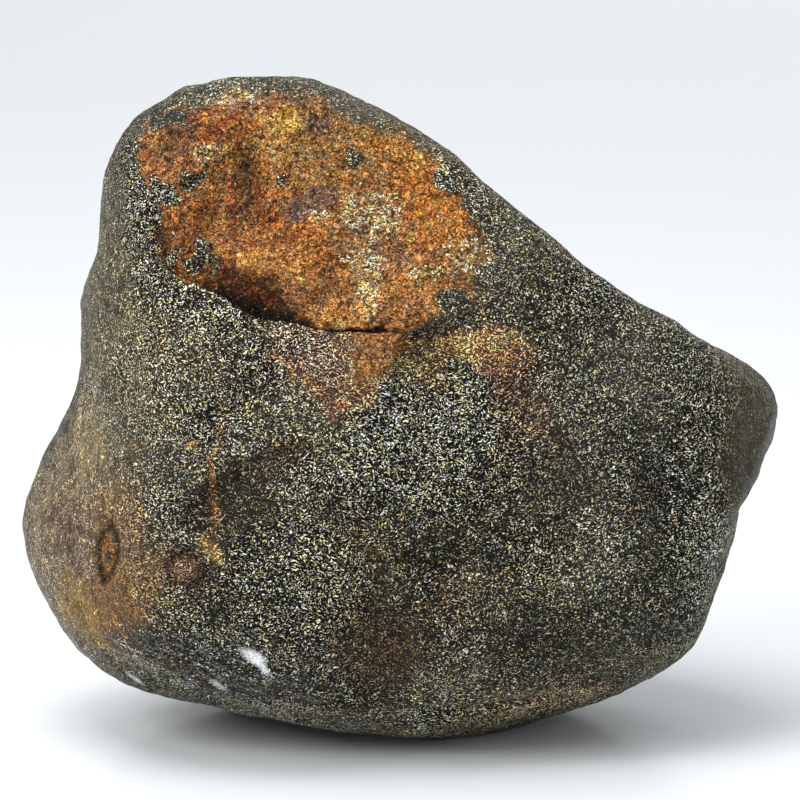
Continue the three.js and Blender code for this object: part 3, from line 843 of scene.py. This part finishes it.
def makeFinish(piece):
    material = bpy.data.materials.new("weatheredCrustAndRust")
    material.use_nodes = True
    tree = material.node_tree
    tree.nodes.clear()

    def add(kind, inputs=None, **settings):
        made = tree.nodes.new(kind)
        for key, value in settings.items():
            setattr(made, key, value)
        for key, value in (inputs or {}).items():
            if isinstance(value, bpy.types.NodeSocket):
                tree.links.new(value, made.inputs[key])
            else:
                made.inputs[key].default_value = value
        return made

    def number(operation, a, b=0.5, c=0.5, clamp=False):
        return add("ShaderNodeMath", {0: a, 1: b, 2: c}, operation=operation, use_clamp=clamp).outputs[0]

    def times(a, b, clamp=False):
        return number("MULTIPLY", a, b, clamp=clamp)

    def plus(a, b):
        return number("ADD", a, b)

    def minus(a, b, clamp=False):
        return number("SUBTRACT", a, b, clamp=clamp)

    def vector(operation, a, b, c=(0, 0, 0)):
        return add("ShaderNodeVectorMath", {0: a, 1: b, 2: c}, operation=operation).outputs[0]

    def vectorScaled(a, factor):
        return add("ShaderNodeVectorMath", {0: a, "Scale": factor}, operation="SCALE").outputs[0]

    def noiseAt(place, perMm, detail, rough=0.5, distortion=0.0, output="Fac"):
        return add("ShaderNodeTexNoise", {"Vector": place, "Scale": perMm, "Detail": detail,
                                          "Roughness": rough, "Distortion": distortion}).outputs[output]

    def grain(perMm, detail=2.0, rough=0.55, distortion=0.0, offset=0.0):
        return noiseAt(vector("ADD", position, (offset, offset, offset)), perMm, detail, rough, distortion)

    def ramp(value, low, high):
        return add("ShaderNodeMapRange", {"Value": value, "From Min": low, "From Max": high},
                   interpolation_type="SMOOTHSTEP").outputs["Result"]

    def scaled(value, low, high):
        return add("ShaderNodeMapRange", {"Value": value, "To Min": low, "To Max": high}).outputs["Result"]

    def mix(factor, a, b, blend="MIX"):
        made = add("ShaderNodeMix", data_type="RGBA", blend_type=blend, clamp_factor=True)
        for index, value in ((0, factor), (6, a), (7, b)):
            if isinstance(value, bpy.types.NodeSocket):
                tree.links.new(value, made.inputs[index])
            elif index:
                made.inputs[index].default_value = (*value, 1)
            else:
                made.inputs[index].default_value = value
        return made.outputs[2]

    def blend(factor, a, b):
        return add("ShaderNodeMix", {0: factor, 2: a, 3: b}, data_type="FLOAT").outputs[0]

    def dimmed(colour, tone):
        grey = add("ShaderNodeCombineColor", {0: tone, 1: tone, 2: tone}).outputs[0]
        return mix(1.0, colour, grey, "MULTIPLY")

    def mask(name):
        return add("ShaderNodeAttribute", attribute_name=name).outputs["Fac"]

    def straws(perMm, offset):
        # fine noise, drawn out along a direction that changes every third of a millimetre or so
        place = vector("ADD", position, (offset, offset, offset))
        wave = noiseAt(place, 3.0, 1.0, output="Color")
        place = vector("MULTIPLY_ADD", wave, (0.2, 0.2, 0.2), place)
        cell = add("ShaderNodeTexVoronoi", {"Vector": place, "Scale": 2.6}).outputs["Color"]
        turn = vectorScaled(cell, 2 * math.pi)
        turned = add("ShaderNodeVectorRotate", {"Vector": place, "Rotation": turn},
                     rotation_type="EULER_XYZ").outputs[0]
        return noiseAt(vector("MULTIPLY", turned, (1, 1, 0.27)), perMm, 0.0)

    def cells(perMm):
        # two numbers for each cell, and the place that the cells are laid out by
        jitter = dimmed((1, 1, 1), scaled(sand, -0.2, 0.2))
        place = vector("ADD", position, jitter)
        cell = add("ShaderNodeTexVoronoi", {"Vector": place, "Scale": perMm}).outputs["Color"]
        parts = add("ShaderNodeSeparateColor", {0: cell}).outputs
        return parts[0], parts[1], place

    coordinates = add("ShaderNodeTexCoord").outputs["Object"]
    position = vectorScaled(coordinates, 1 / mm)
    ground = add("ShaderNodeAttribute", attribute_name="ground").outputs["Color"]
    rusty, contrast, gloss = mask("rust"), mask("glint"), mask("gloss")
    warm, pale, worn, stained = mask("warm"), mask("pale"), mask("worn"), mask("stained")
    brightness = add("ShaderNodeRGBToBW", {0: ground}).outputs[0]

    # the break's edge frays finer than the mesh can say
    frayed = times(minus(grain(1.5, 5, 0.75), 0.5), 1.5)
    rustShare = ramp(plus(rusty, frayed), 0.35, 0.65)

    # crust: near-black gaps between short pale strokes, which are golden, cream or bluish by patches
    clusters = times(minus(grain(0.8, 3, 0.6, offset=11.0), 0.5), strokeLook["clustering"])
    inTheDark = scaled(ramp(brightness, 0.06, 0.015), 0.0, strokeLook["fewerInTheDark"])
    denser = minus(scaled(stained, 0.0, strokeLook["moreOnStains"]), inTheDark)
    straw = plus(straws(strokeLook["perMm"], 7.0), plus(clusters, denser))
    strokes = ramp(straw, strokeLook["start"], strokeLook["full"])
    strokes = number("POWER", strokes, strokeLook["sharpness"])
    patches = grain(1.4, 3, 0.65, offset=17.0)
    tint = mix(warm, strokeLook["bluishTint"], strokeLook["creamTint"])
    tint = mix(ramp(patches, 0.36, 0.48), tint, strokeLook["goldTint"])
    deepGold = mix(warm, strokeLook["deepGoldTintBluish"], strokeLook["deepGoldTint"])
    tint = mix(ramp(patches, 0.50, 0.60), tint, deepGold)
    strokeBright = times(number("POWER", brightness, 0.5), 0.25)
    strokeGround = mix(scaled(stained, *strokeLook["ownTint"]), dimmed(tint, strokeBright), ground)
    depth = times(contrast, scaled(stained, *strokeLook["gapDepth"]))
    gapTone = minus(1.0, depth, clamp=True)
    strokeTone = plus(1.0, times(depth, scaled(stained, *strokeLook["brightness"])))
    bunched = ramp(grain(1.7, 3, 0.6, offset=61.0), 0.36, 0.64)
    strokeTone = times(strokeTone, scaled(bunched, 0.62, 1.3))

    # a mottling over both, with specks where the skin is worn
    blotch = ramp(grain(1.1, 4, 0.65), 0.32, 0.68)
    lightSpecks = scaled(ramp(grain(4.0, 2, 0.6, offset=21.0), 0.52, 0.60), 0.85, 1.5)
    darkSpecks = scaled(ramp(grain(2.6, 3, 0.65, offset=22.0), 0.44, 0.36), 1.0, 0.45)
    speckled = times(scaled(blotch, 0.65, 1.4), times(lightSpecks, darkSpecks))
    mottle = blend(worn, scaled(blotch, 0.75, 1.25), speckled)
    tone = times(blend(strokes, gapTone, strokeTone), mottle)
    tone = times(tone, scaled(ramp(grain(4.3, 1, offset=15.0), 0.3, 0.7), 0.7, 1.3))
    gapGround = dimmed(mix(0.6, (0.90, 1.0, 1.0), tint), brightness)
    gapColour = mix(times(contrast, 0.5), ground, gapGround)
    crustColour = dimmed(mix(strokes, gapColour, strokeGround), tone)

    # painted sheen: pale streaks of reflection low on the left, where the crust looks wet, along the skin's
    # own slant
    aslant = add("ShaderNodeVectorRotate", {"Vector": position, "Axis": (0, 1, 0),
                                            "Angle": math.radians(sheenStreakLook["slant"])}).outputs[0]
    drawn = vector("MULTIPLY", aslant, sheenStreakLook["drawnOut"])
    sheenStreaks = ramp(noiseAt(drawn, sheenStreakLook["perMm"], 4.0), 0.54, 0.60)
    sheenStreaks = times(times(sheenStreaks, gloss), scaled(strokes, 0.06, 2.0), clamp=True)
    crustColour = mix(sheenStreaks, crustColour, sheenStreakLook["colour"])

    # freckles of rust in the crust
    freckles = ramp(grain(freckleLook["perMm"], 2, 0.6, offset=19.0), 0.65, 0.71)
    crustColour = mix(times(freckles, freckleLook["strength"]), crustColour, freckleLook["colour"])

    # rust: grains of many tints, with dark pits and cracks and some pale crumbs
    clods = grain(1.3, 5, 0.7, 0.3, offset=23.0)
    sand = grain(3.4, 3, 0.7, offset=29.0)
    fine = number("POWER", ramp(straws(8.0, 29.0), 0.25, 0.78), 1.6)
    rustTone = times(scaled(ramp(clods, 0.36, 0.64), *rustLook["clods"]), scaled(fine, *rustLook["fine"]))
    cellTint, cellTone, cellPlace = cells(rustLook["cellsPerMm"])
    fineTint, fineTone, _ = cells(rustLook["fineCellsPerMm"])
    crack = add("ShaderNodeTexVoronoi", {"Vector": cellPlace, "Scale": rustLook["cellsPerMm"]},
                feature="DISTANCE_TO_EDGE")
    cracks = scaled(ramp(crack.outputs["Distance"], 0.0, 0.12), 0.6, 1.15)
    cellShade = times(scaled(cellTone, 0.85, 1.2), scaled(fineTone, 0.8, 1.25))
    rustColour = dimmed(ground, times(rustTone, times(cellShade, cracks)))
    for perMm, low, high, offset, shift in rustTints:
        scattered = times(minus(blend(0.5, cellTint, fineTint), 0.5), 0.3)
        part = ramp(plus(grain(perMm, 4, 0.7, offset=offset), scattered), low, high)
        rustColour = mix(part, rustColour, mix(1.0, rustColour, shift, "MULTIPLY"))
    # painted highlights: small bright glints on the rust grains
    paintedSparkle = ramp(straws(8.0, 53.0), 0.71, 0.77)
    paintedSparkleColour = dimmed(mix(0.5, ground, (0.20, 0.16, 0.11)), 3.2)
    rustColour = mix(times(paintedSparkle, rustLook["paintedSparkle"]), rustColour, paintedSparkleColour)
    crumbNoise = plus(grain(2.2, 4, 0.75, offset=37.0), times(pale, 0.17))
    crumbs = times(ramp(crumbNoise, 0.63, 0.68), rustLook["crumbs"])
    crumbColour = mix(ramp(grain(1.5, 2, offset=39.0), 0.42, 0.58), *rustLook["crumbColours"])
    rustColour = mix(crumbs, rustColour, dimmed(crumbColour, scaled(fine, 0.1, 2.2)))
    shaded = scaled(ramp(brightness, 0.16, 0.05), -0.015, 0.045)
    holes = ramp(minus(grain(1.7, 4, 0.7, 0.6, offset=41.0), shaded), 0.42, 0.38)
    pits = number("MAXIMUM", holes, ramp(straws(6.5, 27.0), 0.36, 0.29))
    rustColour = mix(times(pits, rustLook["pits"]), rustColour, rustLook["pitColour"])

    colour = mix(rustShare, crustColour, rustColour)
    colour.node.clamp_result = True

    # relief finer than the mesh
    crustHeight = plus(times(strokes, 0.5), grain(3.0, 3, 0.6, offset=43.0))
    rustHeight = minus(plus(times(clods, 2.0), times(cracks, 0.6)), pits)
    height = blend(rustShare, crustHeight, rustHeight)
    bump = add("ShaderNodeBump", {"Height": height, "Strength": 1.0, "Distance": surface["relief"]})

    shine = number("MAXIMUM", gloss, times(worn, 0.45))
    crustRough = minus(scaled(grain(2.5, 2, offset=47.0), *surface["crustRoughness"]), times(shine, 0.35))
    rough = blend(rustShare, crustRough, surface["rustRoughness"])
    shader = add("ShaderNodeBsdfPrincipled", {"Base Color": colour, "Roughness": rough,
                                              "Normal": bump.outputs[0]})
    shader.inputs["Specular IOR Level"].default_value = surface["specular"]
    add("ShaderNodeOutputMaterial", {"Surface": shader.outputs[0]})
    piece.data.materials.append(material)
    print("finish made")


# Where pale crumbs gather in the break: where, half sizes and slant.
crumbBeds = [
    ((-14.5, -12.3, 47.3), (1.7, 4, 1.1), 15), ((-3.8, -14.6, 43.2), (0.9, 4, 2.0), 10),
    ((-6.0, -14.8, 42.6), (1.6, 4, 0.7), -10), ((-1.6, -15.5, 42.8), (2.0, 4, 2.4), -20),
    ((-2.6, -16.7, 39.6), (2.2, 4, 1.2), -15), ((-2.3, -18, 37.2), (1.3, 4, 2.0), 10),
    ((2.0, -17.3, 38.8), (2.0, 4, 0.9), 10),
    ((-12.6, -9.3, 51.6), (3.4, 4, 1.0), 5), ((5.0, -17.2, 40.0), (2.0, 4, 2.4), 0),
]


def paleMask(places):
    share = np.zeros(len(places))
    for at, size, slant in crumbBeds:
        share = np.maximum(share, nearness(places, at, size, slant) ** 0.5)
    return share


def warmthMask(places):
    # the glints are cream in the middle and bluish at the right
    return (1 - 0.8 * smooth(places[:, 0], 8, 20) * atFront(places)).clip(0, 1)


def makeStone():
    piece = makeSkin()
    places = placesOf(piece)
    masks = {"rust": rustMask(places), "spur": spurMask(places), "crevice": creviceShadeMask(places)}
    pressForms(piece)
    masks["crust"] = 1 - masks["rust"]
    masks["grit"] = masks["rust"] * smooth(besideLine(places, ledge["line"])[0], 0.3, 2.4)
    lumpy = nearness(places, skin["lumpyAt"], skin["lumpySize"]) ** 0.5
    masks["bumpy"] = masks["crust"] * (0.25 + lumpy).clip(0, 1)
    roughen(piece, masks)
    levelFoot(piece)
    places = placesOf(piece)
    paint(piece, masks)
    keepMask(piece, "rust", masks["rust"])
    keepMask(piece, "glint", glintMask(places))
    keepMask(piece, "gloss", glossMask(places))
    keepMask(piece, "warm", warmthMask(places))
    keepMask(piece, "pale", paleMask(places))
    keepMask(piece, "worn", wornMask(places))
    makeFinish(piece)
    selectOnly(piece)
    bpy.ops.object.shade_smooth()
    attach(piece, "root")
    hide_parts("stone")
    print("stone:", sum(len(polygon.vertices) - 2 for polygon in piece.data.polygons), "triangles")


# Floor, light and camera.
stage = {
    "floor": linear(241, 244, 247),
    "floorRoughness": 0.2,
    "floorSpecular": 0.35,
    "world": (0.94, 0.97, 1.0),
    "worldStrength": 0.56,
}
lamps = [
    # name, place in mm, width in mm, watts
    ("softboxOverhead", (-80, -40, 430), 300, 1.35),
    ("softboxLeft", (-370, -280, 320), 300, 2.05),
    ("fillRight", (380, -330, 160), 260, 0.3),
    ("behind", (120, 800, 600), 600, 3.0),
]


def makeStage():
    bpy.ops.mesh.primitive_plane_add(size=6, location=(0, 0, 0))
    floor = bpy.context.object
    floor.name = "floor"
    material = bpy.data.materials.new("paleFloor")
    material.use_nodes = True
    shader = material.node_tree.nodes["Principled BSDF"]
    shader.inputs["Base Color"].default_value = (*stage["floor"], 1)
    shader.inputs["Roughness"].default_value = stage["floorRoughness"]
    shader.inputs["Specular IOR Level"].default_value = stage["floorSpecular"]
    floor.data.materials.append(material)
    world = bpy.data.worlds.new("studio")
    world.use_nodes = True
    sky = world.node_tree.nodes["Background"]
    sky.inputs["Color"].default_value = (*stage["world"], 1)
    sky.inputs["Strength"].default_value = stage["worldStrength"]
    bpy.context.scene.world = world
    for name, place, width, watts in lamps:
        bpy.ops.object.light_add(type="AREA", location=Vector(place) * mm)
        lamp = bpy.context.object
        lamp.name = name
        lamp.data.size = width * mm
        lamp.data.energy = watts
        if name != "behind":  # that one lights the floor straight below it
            towardsStone = Vector((0, 0, 25)) - Vector(place)
            lamp.rotation_euler = towardsStone.to_track_quat("-Z", "Y").to_euler()
    bpy.context.scene.view_settings.view_transform = "Standard"
    print("floor and light set")


# Where the camera looks, in mm and degrees, and its lens and the width of its frame, in mm.
view = {"target": (0, 0, 25.9), "elevation": 10, "distance": 400, "lens": 226, "frame": 36}


def makeCamera():
    tilt = math.radians(view["elevation"])
    away = Vector((0, -math.cos(tilt), math.sin(tilt))) * view["distance"]
    place = (Vector(view["target"]) + away) * mm
    bpy.ops.object.camera_add(location=place, rotation=(math.pi / 2 - tilt, 0, 0))
    camera = bpy.context.object
    camera.data.lens = view["lens"]
    camera.data.sensor_width = view["frame"]
    camera.data.clip_start = 0.01
    bpy.context.scene.camera = camera
    print("camera set")


makeStone()
makeStage()
makeCamera()
